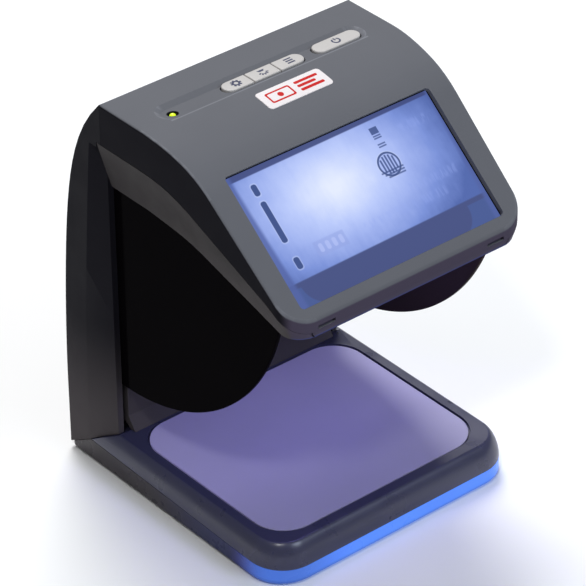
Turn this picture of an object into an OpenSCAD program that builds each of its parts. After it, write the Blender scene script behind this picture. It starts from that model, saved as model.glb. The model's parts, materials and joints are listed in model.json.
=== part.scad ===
// Counterfeit bill detector: a desk viewer with a tilted screen, a note tray and an infrared camera.
// Millimetres. +Z is up, the user stands at -Y, and the origin is under the middle of the footprint.

/* [Overall] */
// Full width across the sides
body_w = 118.6; // [116:0.2:124]
// Height of the flat top of the head above the table
top_z = 165.8; // [160:0.2:172]
// Wall thickness of the mouldings
wall = 2.2; // [1.8:0.1:2.6]

/* [Head] */
// Tilt of the screen face from level, in degrees
face_tilt = 39.5; // [38:0.5:41]
// Width of the screen opening
window_w = 96; // [90:0.5:98]
// Length of the screen opening along the slope
window_l = 54.6; // [48:0.2:55]
// Radius of the lower corners of the bezel
bezel_r = 12; // [8:1:14]

/* [Base] */
// Height of the rim around the note tray
rim_z = 17.3; // [17:0.1:18]
// Radius of the front corners of the base
base_r = 15; // [12:1:16]
// Height of the rubber feet below the base
foot_h = 1; // [0.6:0.1:1.5]

/* [Side shades] */
// Radius of the curved edge of each shade
shade_r = 97; // [92:1:98]
// Thickness of the shades
shade_t = 1.8; // [1.2:0.1:1.9]

/* [Buttons] */
// Travel of a button
key_travel = 0.7; // [0.4:0.1:0.8]
// Gap around a button
key_gap = 0.3; // [0.25:0.05:0.4]

/* [Hidden] */
$fn = 48;

half_w = body_w / 2;
front_y = -65.5;            // front of the head
rear_y = 65.5;              // back of the column
head_rear_y = 37.6;         // joint between head and rear cover
bump_r = 75;                // first bend of the top
bump_a = 18;
brow_r = 45;                // second bend, into the screen face
bump_y = 14.45;             // where the flat top ends
bump_c = [bump_y, top_z - bump_r];
brow_c = bump_c + (bump_r - brow_r) * [-sin(bump_a), cos(bump_a)];
slope_start = brow_c + brow_r * [-sin(face_tilt), cos(face_tilt)];
nose_r = 3.2;               // rounded front edge of the bezel
part_z = 149;               // joint between the two head shells, at the back
lip_z = 114.4;              // the same joint, at the front
belly_z = part_z - 21;      // underside of the head, at the back
chin_z = 112.4;             // underside of the head, at the front
window_c = -21.9;           // middle of the screen, down the slope
window_recess = 2;          // bezel surface to glass
base_front_y = -59.2;
skirt_front = 7.2;          // height of the skirt at the front
skirt_rear = 9.8;           // and at the column
column_y = 40.4;            // front face of the column
column_half_w = 54.8;
crease_y = 53.1;            // where the sides of the column begin to lean in
slot_out = 52.2;            // outer wall of the shade slots
slot_in = 49.7;             // inner wall of the shade slots
shade_c = [40.9, 135.5];
tray_half_w = 50.8;
tray_front = -50.3;
tray_rear = 35.5;
tray_r = 14;
tray_z = 17;
tray_gap = 0.8;
gap = 0.25;                 // seam between mouldings

grey = "#6b6d72";
dark = "#26252b";
slate = "#3a3a44";

// ---------- outlines ----------
function arc(c, r, a0, a1, n) = [for (i = [0:n]) let(a = a0 + (a1 - a0) * i / n)
    c + r * [cos(a), sin(a)]];

// side profile of the head, [y, z], inset by t; back to front over the top
nose_c = let(y = front_y + nose_r, z = slope_start[1] - (slope_start[0] - y) * tan(face_tilt))
    [y, z - nose_r / cos(face_tilt)];
function head_line(t) = concat(
    [[head_rear_y, top_z - t]],
    arc(bump_c, bump_r - t, 90, 90 + bump_a, 8),
    arc(brow_c, brow_r - t, 90 + bump_a, 90 + face_tilt, 8),
    arc(nose_c, max(nose_r - t, 0.4), 90 + face_tilt, 180, 6));

// joint line between the head shells: level, then bending down to the front
fold_r = 61;
fold_a = 24.5;
fold_c = [14, part_z - fold_r];
fold_knee = [-55, 123.3];
function fold_line() = concat([[head_rear_y, part_z]],
    arc(fold_c, fold_r, 90, 90 + fold_a, 6), [fold_knee, [front_y, lip_z]]);

// underside of the head, [y, z], back to front
belly_line = [[column_y, belly_z], [18, belly_z], [10, 127.4], [3.5, 126.7], [-1, 126], [-6, 125.1],
    [-12, 123.8], [-18, 122.2], [-24, 120.6], [-40, 116.6], [-55.4, chin_z], [front_y, chin_z]];
function belly(y) = lookup(y, belly_line);
function fold(y) = lookup(y, fold_line());

// half width of the head seen from above, with rounded front corners
side_front_w = 56.5;
side_bend_y = 8;
corner_ry = bezel_r * cos(face_tilt);
function side_w(y) = y > side_bend_y ? half_w
    : half_w - (half_w - side_front_w) * (side_bend_y - y) / (side_bend_y - front_y);
function head_w(y) = let(d = front_y + corner_ry - y) d <= 0 ? side_w(y)
    : side_w(y) - bezel_r * (1 - sqrt(max(0, 1 - pow(d / corner_ry, 2))));
plan_ys = concat([head_rear_y, side_bend_y],
    [for (i = [0:8]) front_y + corner_ry * (1 - sin(90 * i / 8))]);
function head_plan(t) = concat([for (y = plan_ys) [head_w(y) - t, max(y, front_y + t)]],
    [for (i = [len(plan_ys) - 1:-1:0]) [t - head_w(plan_ys[i]), max(plan_ys[i], front_y + t)]]);

// back of the column: upright, then leaning in to the top
lean_z = 30;
lean_low = 12;
lean_high = 15.7;
function back_y(z) = let(t = max(0, (z - lean_z) / (top_z - lean_z)))
    rear_y - lean_low * pow(t, 1.8) - lean_high * pow(t, 7);
function back_line(t, z0, n) = [for (i = [0:n]) let(z = z0 + (top_z - z0) * i / n)
    [back_y(z) - t, z]];

// seam between the base and the rear cover
seam = [[column_y - 3, 18.2], [46.5, 13.7], [rear_y + 1, 1.6]];

// outline of the base from above, counter-clockwise, inset by t
function base_ring(t, rear, n = 8) = let(w = half_w - t, f = base_front_y + t, b = rear - t,
        rf = base_r - t, rr = 3) concat(
    arc([w - rf, f + rf], rf, -90, 0, n), arc([w - rr, b - rr], rr, 0, 90, n),
    arc([rr - w, b - rr], rr, 90, 180, n), arc([rf - w, f + rf], rf, 180, 270, n));
function skirt(y) = skirt_front + (skirt_rear - skirt_front) * (y - base_front_y) / 100;
function level(ring, z) = [for (p = ring) [p[0], p[1], z]];
function on_skirt(ring, dz) = [for (p = ring) [p[0], p[1], skirt(p[1]) + dz]];

// ---------- helpers ----------
// closed body through matching rings; each ring runs counter-clockwise seen from the last one
module loft(rings) {
    n = len(rings[0]);
    m = len(rings);
    sides = [for (k = [0:m - 2], i = [0:n - 1]) let(j = (i + 1) % n, a = k * n, b = a + n)
        each [[b + i, b + j, a + j], [b + i, a + j, a + i]]];
    polyhedron([for (r = rings) each r], concat(sides,
        [[for (i = [0:n - 1]) i], [for (i = [n - 1:-1:0]) (m - 1) * n + i]]), convexity = 6);
}

// extrudes a [y, z] outline across the body
module across(w) { rotate([90, 0, 90]) translate([0, 0, -w]) linear_extrude(2 * w) children(); }

module across_at(x, w) { translate([x, 0, 0]) across(w) children(); }

// local frame of the screen face: y runs up the slope, z stands out of it
module on_face() { translate([0, slope_start[0], slope_start[1]]) rotate([face_tilt, 0, 0]) children(); }

module slab(w, l, h, r = 0.01) {
    linear_extrude(h) hull() for (x = [-1, 1], y = [-1, 1])
        translate([x * (w / 2 - r), y * (l / 2 - r)]) circle(r, $fn = 24);
}

module plate(w, l, h) { translate([-w / 2, -l / 2, 0]) cube([w, l, h]); }

// tube along a path, square to each segment's mean direction
function unit(v) = v / norm(v);
function along(p, i) = unit(p[min(i + 1, len(p) - 1)] - p[max(i - 1, 0)]);
module tube(p, r, n = 8) {
    up = [0.31, 0.2, 0.93];
    loft([for (i = [0:len(p) - 1]) let(d = along(p, i), u = unit(cross(up, d)), v = cross(d, u))
        [for (k = [0:n - 1]) p[i] + r * (cos(360 * k / n) * u + sin(360 * k / n) * v)]]);
}

// ---------- base ----------
foot_spots = [for (x = [-44, 44], y = [-44, 52]) [x, y]];
base_screw_spots = [for (x = [-46, 46], y = [-26, 30]) [x, y]];
rear_cut = 66;

module above_seam(drop) {
    across(half_w + 5) polygon(concat([for (p = seam) p - [0, drop]],
        [[rear_cut + 5, 60], [column_y - 3, 60]]));
}

module base_lower_shell() color("#3d6fe0") difference() {
    loft([level(base_ring(0.5, rear_y), foot_h), level(base_ring(0, rear_y), foot_h + 0.6),
        on_skirt(base_ring(0, rear_y), -gap / 2)]);
    difference() {
        loft([level(base_ring(wall, rear_y), foot_h + wall), on_skirt(base_ring(wall, rear_y), 3)]);
        for (s = base_screw_spots) translate([s[0], s[1], 0]) cylinder(r = 3.6, h = 7);
        for (s = foot_spots) translate([s[0], s[1], 0]) cylinder(r = 7, h = foot_h + wall + 1);
    }
    above_seam(gap / 2);
    for (s = foot_spots) translate([s[0], s[1], -1]) cylinder(r = 5.6, h = foot_h + 2.2);
    for (s = base_screw_spots) translate([s[0], s[1], -1]) {
        cylinder(r = 1.7, h = 20);
        cylinder(r = 3, h = 4.4);
    }
}

module base_top_cover() color(slate) difference() {
    union() {
        difference() {
            loft([on_skirt(base_ring(0, rear_y), gap / 2), level(base_ring(0.9, rear_y), 11.9),
                level(base_ring(2.1, rear_y), 14.8), level(base_ring(3.4, rear_y), 16.6),
                level(base_ring(4.4, rear_y), rim_z)]);
            intersection() {
                loft([on_skirt(base_ring(wall, rear_y), -1), level(base_ring(wall + 1.6, rear_y), 11),
                    level(base_ring(wall + 5, rear_y), 14.2)]);
                across(half_w) polygon([[base_front_y, 0], [column_y - 3, 0], [column_y - 3, 14.2],
                    [base_front_y, 14.2]]);
            }
            across(half_w - wall) polygon([[column_y - 4, 0], [60, 0], [56, 4.5], [47, 10.6],
                [column_y - 4, 15.4]]);
        }
        for (s = base_screw_spots) translate([s[0], s[1], 7.2]) cylinder(r = 3.6, h = 8);
    }
    above_seam(-gap / 2);
    tray_pocket();
    for (s = base_screw_spots) translate([s[0], s[1], 0]) cylinder(r = 1.3, h = 14.4);
    translate([0, -6, 12]) slab(84, 66, 6, 4);
    translate([0, column_y + 8, 0]) slab(70, 8, 30, 2);
}

module tray_pocket() {
    translate([0, (tray_front + tray_rear) / 2, tray_z - 1])
        slab(2 * (tray_half_w + tray_gap), tray_rear - tray_front + 2 * tray_gap, 5, tray_r + tray_gap);
}

module tray_inlay() color("#8f8cae")
    translate([0, (tray_front + tray_rear) / 2, tray_z - 1])
        slab(2 * tray_half_w, tray_rear - tray_front, 1, tray_r);

module tray_light_board() color("#1d5a35") difference() {
    translate([0, -6, 8.6]) plate(82, 60, 1.6);
    for (x = [-37, 37], y = [-32, 20]) translate([x, y, 0]) cylinder(r = 1.4, h = 20);
}

module tray_leds() color("#f4f2dc")
    for (x = [-30:20:30], y = [-26, -6, 14]) translate([x, y, 10.2]) plate(3.5, 2.8, 1.1);

module rubber_feet() color("#1b1b1d")
    for (s = foot_spots) translate([s[0], s[1], 0]) {
        cylinder(r1 = 5.1, r2 = 5.5, h = 0.4);
        translate([0, 0, 0.4]) cylinder(r = 5.5, h = foot_h + 0.8);
    }

module base_screws() color("#9a9ca0")
    for (s = base_screw_spots) translate([s[0], s[1], foot_h + 2.4]) mirror([0, 0, 1]) {
        translate([0, 0, 0.1]) cylinder(r = 2.7, h = 1.3);
        translate([0, 0, -10]) cylinder(r = 1.25, h = 10.2);
    }

// ---------- column ----------
rear_screw_spots = [for (x = [-45.5, 45.5], z = [46, 118]) [x, z]];
boss_end = 48.2;             // where the bosses of the two column covers meet
jack_x = -30;
jack_z = 27;

module rear_body(t) {
    across(half_w - t) polygon(concat([[head_rear_y - 1, top_z - t], [head_rear_y - 1, 10]],
        [[rear_y - t, 1]], back_line(t, 12, 24)));
}

// wedge that leans the sides of the column in towards its front, below the head; its rear edge
// comes forward with height, as the back does
lean_levels = [-1, lean_z, 50, 70, 90, 105, 120, 135, part_z - 2];
function crease(z) = crease_y - 8.5 * pow(max(0, (z - lean_z) / (part_z - lean_z)), 1.5);
module side_lean(t) {
    for (s = [0, 1]) mirror([s, 0, 0]) loft([for (z = lean_levels) [[half_w - t + 0.01, crease(z), z],
        [column_half_w - t, column_y, z], [column_half_w - t, column_y - 9, z],
        [half_w + 9, column_y - 9, z], [half_w + 9, crease(z), z]]]);
}

module rear_cover() color(dark) difference() {
    union() {
        difference() {
            rear_body(0);
            side_lean(0);
            difference() {
                rear_body(wall);
                side_lean(wall + 0.4);
                for (s = rear_screw_spots) translate([s[0], boss_end + gap, s[1]]) rotate([-90, 0, 0])
                    cylinder(r = 3.8, h = 90);
            }
            across(half_w + 5) polygon([[0, -9], [column_y, -9], [column_y, part_z],
                [head_rear_y + gap, part_z], [head_rear_y + gap, top_z + 9], [0, top_z + 9]]);
        }
        // lip that laps under the top shell of the head
        across(half_w - wall - 0.4) polygon([[head_rear_y - 4, top_z - wall - 2.2],
            [head_rear_y - 4, top_z - wall - 0.3], [head_rear_y + 2.2, top_z - wall - 0.3],
            [head_rear_y + 3.6, top_z - wall - 2.2]]);
    }
    across(half_w + 5)
        polygon(concat([for (p = seam) p + [0, gap / 2]], [[rear_cut + 5, -9], [column_y - 3, -9]]));
    for (s = rear_screw_spots) translate([s[0], 0, s[1]]) rotate([-90, 0, 0]) {
        cylinder(r = 1.7, h = 90);
        translate([0, 0, back_y(s[1]) - 2.4]) cylinder(r = 3.2, h = 20);
    }
    translate([jack_x, rear_y - 9, jack_z]) rotate([-90, 0, 0]) cylinder(r = 5.2, h = 20);
    for (i = [-3:3]) translate([i * 9, rear_y, 92]) rotate([90, 0, 0]) slab(2.4, 22, 16, 1.2);
}

module rear_cover_screws() color("#9a9ca0")
    for (s = rear_screw_spots) let(seat = back_y(s[1]) - 2.35, tip = column_y + 2.6)
        translate([s[0], 0, s[1]]) rotate([-90, 0, 0]) {
            translate([0, 0, seat]) cylinder(r = 2.9, h = 1.4);
            translate([0, 0, tip]) cylinder(r = 1.3, h = seat - tip + 0.1);
        }

module column_front_cover() color("#23233a") difference() {
    union() {
        across(slot_in) polygon([[36.4, rim_z + 0.1], [column_y, 23], [column_y, belly_z - gap],
            [column_y + wall, belly_z - gap], [column_y + wall, 19.4], [column_y - 1, rim_z + 0.1]]);
        for (s = [-1, 1]) translate([s * (slot_in - 1), (column_y + boss_end) / 2, 73.4])
            cube([2, boss_end - column_y, 108], center = true);
        for (s = rear_screw_spots) translate([s[0], column_y + 0.5, s[1]]) rotate([-90, 0, 0])
            cylinder(r = 3.4, h = boss_end - column_y - 0.5);
    }
    for (s = rear_screw_spots) translate([s[0], column_y + 1.6, s[1]]) rotate([-90, 0, 0])
        cylinder(r = 1.35, h = 60);
}

module main_board() color("#1d5a35") difference() {
    translate([-38, 46, 32]) cube([76, 1.6, 84]);
    for (x = [-34, 34], z = [36, 112]) translate([x, 40, z]) rotate([-90, 0, 0]) cylinder(r = 1.6, h = 20);
}

module board_chips() color("#17181b") {
    translate([-8, 47.6, 70]) cube([14, 1.4, 14]);
    translate([14, 47.6, 74]) cube([9, 1.1, 6]);
    translate([-24, 47.6, 62]) cube([6, 1.1, 9]);
    translate([-20, 47.6, 94]) cube([18, 4.2, 5]);
    translate([4, 47.6, 94]) cube([12, 4.2, 5]);
    translate([20, 47.6, 46]) cube([8, 4, 8]);
    for (x = [-6, 6]) translate([x, 47.6, 50]) rotate([-90, 0, 0]) cylinder(r = 3.1, h = 6.5);
}

module board_screws() color("#b9bbbf")
    for (x = [-34, 34], z = [36, 112]) translate([x, 47.6, z]) rotate([-90, 0, 0]) {
        cylinder(r = 2.7, h = 1.4);
        translate([0, 0, -4.9]) cylinder(r = 1.3, h = 5);
    }

module dc_jack() color("#141416") translate([jack_x, rear_y - wall - 0.1, jack_z]) difference() {
    union() {
        rotate([90, 0, 0]) cylinder(r = 5, h = 3);
        translate([-5.4, -12.6, -5.4]) cube([10.8, 10.6, 10.8]);
        rotate([-90, 0, 0]) cylinder(r = 4.9, h = wall - 0.2);
    }
    translate([0, wall, 0]) rotate([90, 0, 0]) cylinder(r = 3.1, h = 11.4);
}

module dc_jack_pin() color("#c9a94f") translate([jack_x, rear_y - 11.48, jack_z])
    rotate([-90, 0, 0]) {
        cylinder(r = 1, h = 8.5);
        translate([0, 0, 8.5]) sphere(r = 1);
    }

// ---------- head ----------
groove_half = 48.3;
groove_front = 11.9;
groove_rear = 23.5;
groove_drop = 1.2;
groove_bank = 2.6;          // how far the sloping rear wall reaches forward
groove_c = (groove_front + groove_rear) / 2;
floor_a = atan(groove_drop / (groove_rear - groove_front - groove_bank));
key_top = top_z + 0.3;
key_y = 17.2;
key_l = 6.8;
key_lip = 0.9;
key_edge = 0.25;            // step round the top of a key
row_half = 18.6;
power_x = 34.9;
power_w = 21.6;
led_spot = [-42.3, 16.6];
rim_slots = [-40.1, 40.1];
head_screw_spots = [[-40, 30], [40, 30]];
cam = [0, 9];

module head_body(t) intersection() {
    across(half_w) polygon(concat(head_line(t), [[front_y + t, 100], [head_rear_y, 100]]));
    translate([0, 0, 90]) linear_extrude(90) polygon(head_plan(t));
}

module below_fold(dz) {
    across(half_w + 5) polygon(concat([for (p = fold_line()) p + [0, dz]],
        [[front_y - 5, lip_z + dz], [front_y - 5, 60], [head_rear_y + 5, 60],
            [head_rear_y + 5, part_z + dz]]));
}

// trough for the buttons: deepest at its rear wall, running out flush at the front
module groove() {
    intersection() {
        translate([0, groove_c, 100]) slab(2 * groove_half, groove_rear - groove_front, 90, 5);
        across(groove_half + 1) polygon([[groove_front, top_z - 0.05], [groove_rear - groove_bank, top_z - groove_drop],
            [groove_rear, top_z], [groove_rear, top_z + 5], [groove_front, top_z + 5]]);
    }
}

// outline of one key: flat or rounded at each end
module key_shape(x0, x1, left_round, right_round, grow = 0) {
    r = key_l / 2 + grow;
    a = x0 - grow;
    b = x1 + grow;
    union() {
        translate([a + (left_round ? r : 0), -r])
            square([b - a - (left_round ? r : 0) - (right_round ? r : 0), 2 * r]);
        if (left_round) translate([a + r, 0]) circle(r);
        if (right_round) translate([b - r, 0]) circle(r);
    }
}

module key(x0, x1, left_round, right_round) translate([0, key_y, 0]) {
    left_lip = left_round ? key_lip : 0;
    right_lip = right_round ? key_lip : 0;
    translate([0, 0, top_z - 3.6]) linear_extrude(key_top - key_edge - top_z + 3.6)
        key_shape(x0, x1, left_round, right_round);
    translate([0, 0, key_top - key_edge]) linear_extrude(key_edge)
        key_shape(x0, x1, left_round, right_round, -key_edge);
    // lip under the shell that keeps the key in
    translate([0, 0, top_z - 4.3]) linear_extrude(1) intersection() {
        key_shape(x0, x1, left_round, right_round, key_lip);
        translate([x0 - left_lip, -key_l]) square([x1 - x0 + left_lip + right_lip, 2 * key_l]);
    }
    translate([(x0 + x1) / 2, 0, top_z - 6]) cylinder(r = 1.6, h = 2);
}

row_step = 2 * row_half / 3;
module settings_button() color("#c4c0bb") key(-row_half, -row_half + row_step - 0.35, true, false);
module lamp_button() color("#c4c0bb") key(-row_half + row_step, row_half - row_step - 0.35, false, false);
module mode_button() color("#c4c0bb") key(row_half - row_step, row_half, false, true);
module power_button() color("#c4c0bb") key(power_x - power_w / 2, power_x + power_w / 2, true, true);

module head_top_shell() color(grey) difference() {
    union() {
        difference() {
            head_body(0);
            head_body(wall);
            below_fold(gap / 2);
            translate([0, head_rear_y + 49.95, 0]) cube([300, 100, 500], center = true);
        }
        // thickened floor under the trough, with bosses for the key board
        intersection() {
            translate([0, groove_c, top_z - 3]) slab(2 * groove_half + 4, 14, 2.9, 5);
            head_body(0.4);
        }
        for (s = head_screw_spots) translate([s[0], s[1], fold(s[1]) + 2]) intersection() {
            cylinder(r = 3.4, h = 40);
            translate([-s[0], -s[1], -fold(s[1]) - 2]) head_body(0.5);
        }
        for (x = [-46, 46]) translate([x, 8, top_z - 9]) cylinder(r = 2.6, h = 7);
    }
    groove();
    on_face() translate([0, window_c, -6]) slab(window_w, window_l, 20, 1.6);
    on_face() translate([0, window_c, -40 - window_recess]) plate(99.6, 59.4, 40);
    translate([0, key_y, top_z - 9]) linear_extrude(20) {
        key_shape(-row_half, row_half, true, true, key_gap);
        key_shape(power_x - power_w / 2, power_x + power_w / 2, true, true, key_gap);
    }
    translate([led_spot[0], led_spot[1], top_z - 9]) cylinder(r = 1.7, h = 20);
    badge_seat(0.3, 0.2);
    for (x = rim_slots) translate([x, front_y, lip_z + 1.2]) cube([8, 12, 2.6], center = true);
    for (s = head_screw_spots) translate([s[0], s[1], fold(s[1]) - 10]) cylinder(r = 1.35, h = 20);
    for (x = [-46, 46]) translate([x, 8, top_z - 10]) cylinder(r = 1, h = 6);
}

badge_x = 2.2;
badge_a = 9.5;
module badge_seat(dr, grow) {
    translate([badge_x, bump_c[0], bump_c[1]]) rotate([badge_a, 0, 0]) intersection() {
        rotate([0, 90, 0]) difference() {
            cylinder(r = bump_r + 0.6, h = 60, center = true, $fn = 180);
            cylinder(r = bump_r - dr, h = 62, center = true, $fn = 180);
        }
        translate([0, 0, bump_r - 3]) slab(30 + grow, 10.4 + grow, 6, 1.6);
    }
}

module badge_plate() color("#ece4e4") intersection() {
    badge_seat(0.29, -0.1);
    translate([badge_x, bump_c[0], bump_c[1]]) rotate([0, 90, 0])
        cylinder(r = bump_r + 0.3, h = 60, center = true, $fn = 180);
}

// ring of the lower shell at one station: joint line at full width, underside narrower
function head_ring(y, t, dz) = let(w = head_w(max(y, front_y + 0.02)), z1 = fold(y) + dz,
        z0 = belly(y) + t, k = min(1, (fold(y) - belly(y)) / 21), b = max(w - 1 - 5 * k, 4))
    [[-b + t, y, z0], [b - t, y, z0], [w - t, y, z1], [t - w, y, z1]];
ring_ys = concat([column_y - gap, 26, 18, 10, 3.5, -1, -6, -12, -18, -24, -32, -40, -48, -52],
    [for (i = [0:7]) front_y + corner_ry * (1 - sin(90 * i / 8))], [front_y + 0.3]);

module head_lower_shell() color(dark) difference() {
    union() {
        difference() {
            loft([for (y = ring_ys) head_ring(min(y, column_y), 0, -gap / 2)]);
            loft([for (y = ring_ys) head_ring(max(min(y, column_y) - (y > 39 ? wall : 0),
                front_y + 1.8 + 0.02 * (y - front_y)), wall, 1)]);
        }
        for (s = head_screw_spots) translate([s[0], s[1], belly(s[1]) + 1])
            cylinder(r = 3.6, h = fold(s[1]) - belly(s[1]) - 1.4);
        // snap hooks that catch behind the two slots in the rim
        for (x = rim_slots) across_at(x, 3.4) polygon([[front_y + 2.5, chin_z + 1],
            [front_y + 2.5, lip_z + 0.6], [front_y + 1, lip_z + 0.8], [front_y + 2.5, lip_z + 2.2],
            [front_y + 3.9, lip_z + 2.2], [front_y + 3.9, chin_z + 1]]);
    }
    for (s = head_screw_spots) translate([s[0], s[1], 90]) {
        cylinder(r = 1.7, h = 70);
        cylinder(r = 3.1, h = belly(s[1]) - 90 + 3);
    }
    for (s = [-1, 1]) translate([s * (slot_in + slot_out) / 2, 0, 0]) across(1.1) shade_tab();
    translate([cam[0], cam[1] + 4, belly_z - 4]) slab(78, 32, 11, 3);
    lamp_frame() translate([0, 0, -2]) slab(72, 12, 12, 2);
    translate([0, column_y - 4, belly_z + 4]) slab(40, 20, 30);
}

// strip that the shades reach into above the underside of the head
module shade_tab() {
    polygon(concat([for (p = belly_line) if (p[0] < 40 && p[0] > -62) p + [0, 4.2]],
        [[-57, 116.4], [-57, 100], [column_y + 2, 100], [column_y + 2, belly_z + 4.2]]));
}

module shade(x) color("#0d0c10") translate([x, 0, 0]) across(shade_t / 2) intersection() {
    translate(shade_c) circle(shade_r, $fn = 220);
    polygon(concat([[column_y + 4, 20], [column_y + 4, belly_z - 1], [column_y - 0.4, belly_z - 1],
        [column_y - 0.4, belly_z + 4]], [for (p = belly_line) if (p[0] < 40 && p[0] > -62) p + [0, 4]],
        [[-56.6, 116.4], [-57, 20]]));
}
shade_x = (slot_in + slot_out) / 2;
module left_side_shade() shade(-shade_x);
module right_side_shade() shade(shade_x);

module head_screws() color("#9a9ca0")
    for (s = head_screw_spots) translate([s[0], s[1], belly(s[1]) + 1.5]) {
        cylinder(r = 2.7, h = 1.4);
        translate([0, 0, 1.3]) cylinder(r = 1.3, h = fold(s[1]) - belly(s[1]) + 5);
    }

module lcd_glass() color("#20243a") on_face()
    translate([0, window_c, -window_recess - 1.2]) plate(99, 58.6, 1.15);

module lcd_backlight() color("#c8cace") on_face() difference() {
    translate([0, window_c, -window_recess - 4.2]) plate(99, 58.6, 2.95);
    translate([0, window_c, -window_recess - 3.4]) plate(95.6, 54.8, 9);
}

module lcd_bracket() color("#a9abb0") on_face() difference() {
    union() {
        translate([0, window_c, -window_recess - 5.3]) plate(101, 58.6, 1);
        for (x = [-50, 50]) translate([x, window_c, -window_recess - 5.3]) plate(1, 52, 4);
    }
    translate([0, window_c, -window_recess - 9]) slab(60, 34, 9, 4);
    for (x = [-1, 1], y = [-1, 1]) translate([x * 36, window_c + y * 22, -12]) cylinder(r = 1.2, h = 9);
}

module lcd_board() color("#1d5a35") on_face() difference() {
    union() {
        translate([0, window_c, -window_recess - 8.6]) plate(80, 50, 1.4);
        for (x = [-1, 1], y = [-1, 1]) translate([x * 36, window_c + y * 22, -window_recess - 7.3])
            cylinder(r = 2.2, h = 1.9);
    }
    for (x = [-1, 1], y = [-1, 1]) translate([x * 36, window_c + y * 22, -20]) cylinder(r = 1.2, h = 20);
}

// ---------- keys and status light ----------
mat_z = top_z - 8.6;
module keypad_mat() color("#4a4b50") {
    translate([7.7, key_y, mat_z]) plate(84, 12, 0.8);
    for (x = [-12, 0, 12, power_x]) translate([x, key_y, mat_z + 0.8]) cylinder(r = 2.2, h = 0.7);
}

module key_board() color("#1d5a35") difference() {
    translate([0, key_y - 3, mat_z - 3.4]) plate(98, 22, 1.6);
    for (x = [-46, 46]) translate([x, 8, 100]) cylinder(r = 1.2, h = 70);
}

module key_switches() color("#2b2b2e")
    for (x = [-12, 0, 12, power_x]) translate([x, key_y, mat_z - 1.8]) plate(5, 5, 1.7);

module status_led() color("#b8d400") translate([led_spot[0], led_spot[1], 0]) {
    translate([0, 0, mat_z - 1.8]) cylinder(r = 1.55, h = top_z - mat_z - 0.2);
    translate([0, 0, top_z - 2]) sphere(r = 1.5);
    translate([0, 0, mat_z - 1.8]) cylinder(r = 1.9, h = 1);
}

// ---------- camera and lamps ----------
module camera_board() color("#1d5a35") difference() {
    translate([cam[0], cam[1] + 4, belly_z + 10.4]) plate(74, 28, 1.6);
    for (x = [-34, 34]) translate([x, cam[1] + 4, 100]) cylinder(r = 1.4, h = 60);
}

module camera_body() color("#18181a") translate([cam[0], cam[1], belly_z + 3]) difference() {
    union() {
        translate([0, 0, 3]) plate(13, 13, 4.4);
        cylinder(r = 5, h = 3.1);
    }
    translate([0, 0, -1]) cylinder(r = 3.6, h = 5);
}

module camera_lens() color("#3a3f5c") translate([cam[0], cam[1], belly_z + 3.2]) difference() {
    cylinder(r = 3.5, h = 3.6);
    translate([0, 0, -9.4]) sphere(r = 10);
}

module camera_window() color("#150f14")
    translate([cam[0], cam[1] + 4, belly_z + 0.2]) slab(77.6, 31.6, 1.6, 2.9);

module ir_leds() color("#cfc8d8")
    for (x = [-28, -20, 20, 28], y = [-3, 7]) translate([x, cam[1] + y + 2, belly_z + 4.8]) {
        cylinder(r = 2.5, h = 5.5);
        sphere(r = 2.5);
    }

module lamp_frame() { translate([0, -33.5, 118.4]) rotate([14, 0, 0]) children(); }
module lamp_board() color("#1d5a35") lamp_frame() translate([0, 0, 5.6]) plate(70, 11, 1.4);
module uv_leds() color("#bba8ff") lamp_frame()
    for (x = [-27:13.5:27]) translate([x, 0, 4.2]) plate(3.6, 3.6, 1.35);
module lamp_window() color("#5b4aa8") lamp_frame() translate([0, 0, 1.2]) slab(71.6, 11.6, 1.2, 1.8);

// ---------- wiring held inside ----------
module power_harness() color("#101012")
    tube([[-30, 49.4, 25], [-29, 49.4, 30], [-22, 49.2, 36], [-12, 49.6, 38], [4, 49.4, 40], [14, 49.6, 41],
        [22, 50.4, 42.4], [24, 50.4, 45.6]], 1.1);

module head_harness() color("#8d2f2f")
    tube([[-11, 49.9, 99.4], [-11, 49.6, 108], [-8, 48.4, 120], [-4, 44, 132], [0, 39, 142], [0, 32, 147],
        [0, 22, 149.6], [0, 14, 149.8]], 1.3);

module tray_harness() color("#c8c8cc")
    tube([[10, 49.9, 93.6], [12, 52, 84], [30, 53, 66], [31, 53, 40], [30, 50, 22], [29, 48.4, 14],
        [26, 44, 8], [22, 36, 7.5], [22, 20, 7.5]], 1);

base_lower_shell();
base_top_cover();
tray_inlay();
tray_light_board();
tray_leds();
rubber_feet();
base_screws();
rear_cover();
rear_cover_screws();
column_front_cover();
main_board();
board_chips();
board_screws();
dc_jack();
dc_jack_pin();
head_top_shell();
head_lower_shell();
head_screws();
lcd_glass();
lcd_backlight();
lcd_bracket();
lcd_board();
left_side_shade();
right_side_shade();
settings_button();
lamp_button();
mode_button();
power_button();
keypad_mat();
key_board();
key_switches();
status_led();
badge_plate();
camera_board();
camera_body();
camera_lens();
camera_window();
ir_leds();
lamp_board();
uv_leds();
lamp_window();
power_harness();
head_harness();
tray_harness();
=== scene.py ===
"""Looks of the counterfeit bill detector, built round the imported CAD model. Lengths are millimetres until
mesh_object() turns them into metres."""

import json
import math
from math import cos, pi, radians, sin

import bmesh
import bpy
from mathutils import Matrix, Vector

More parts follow.
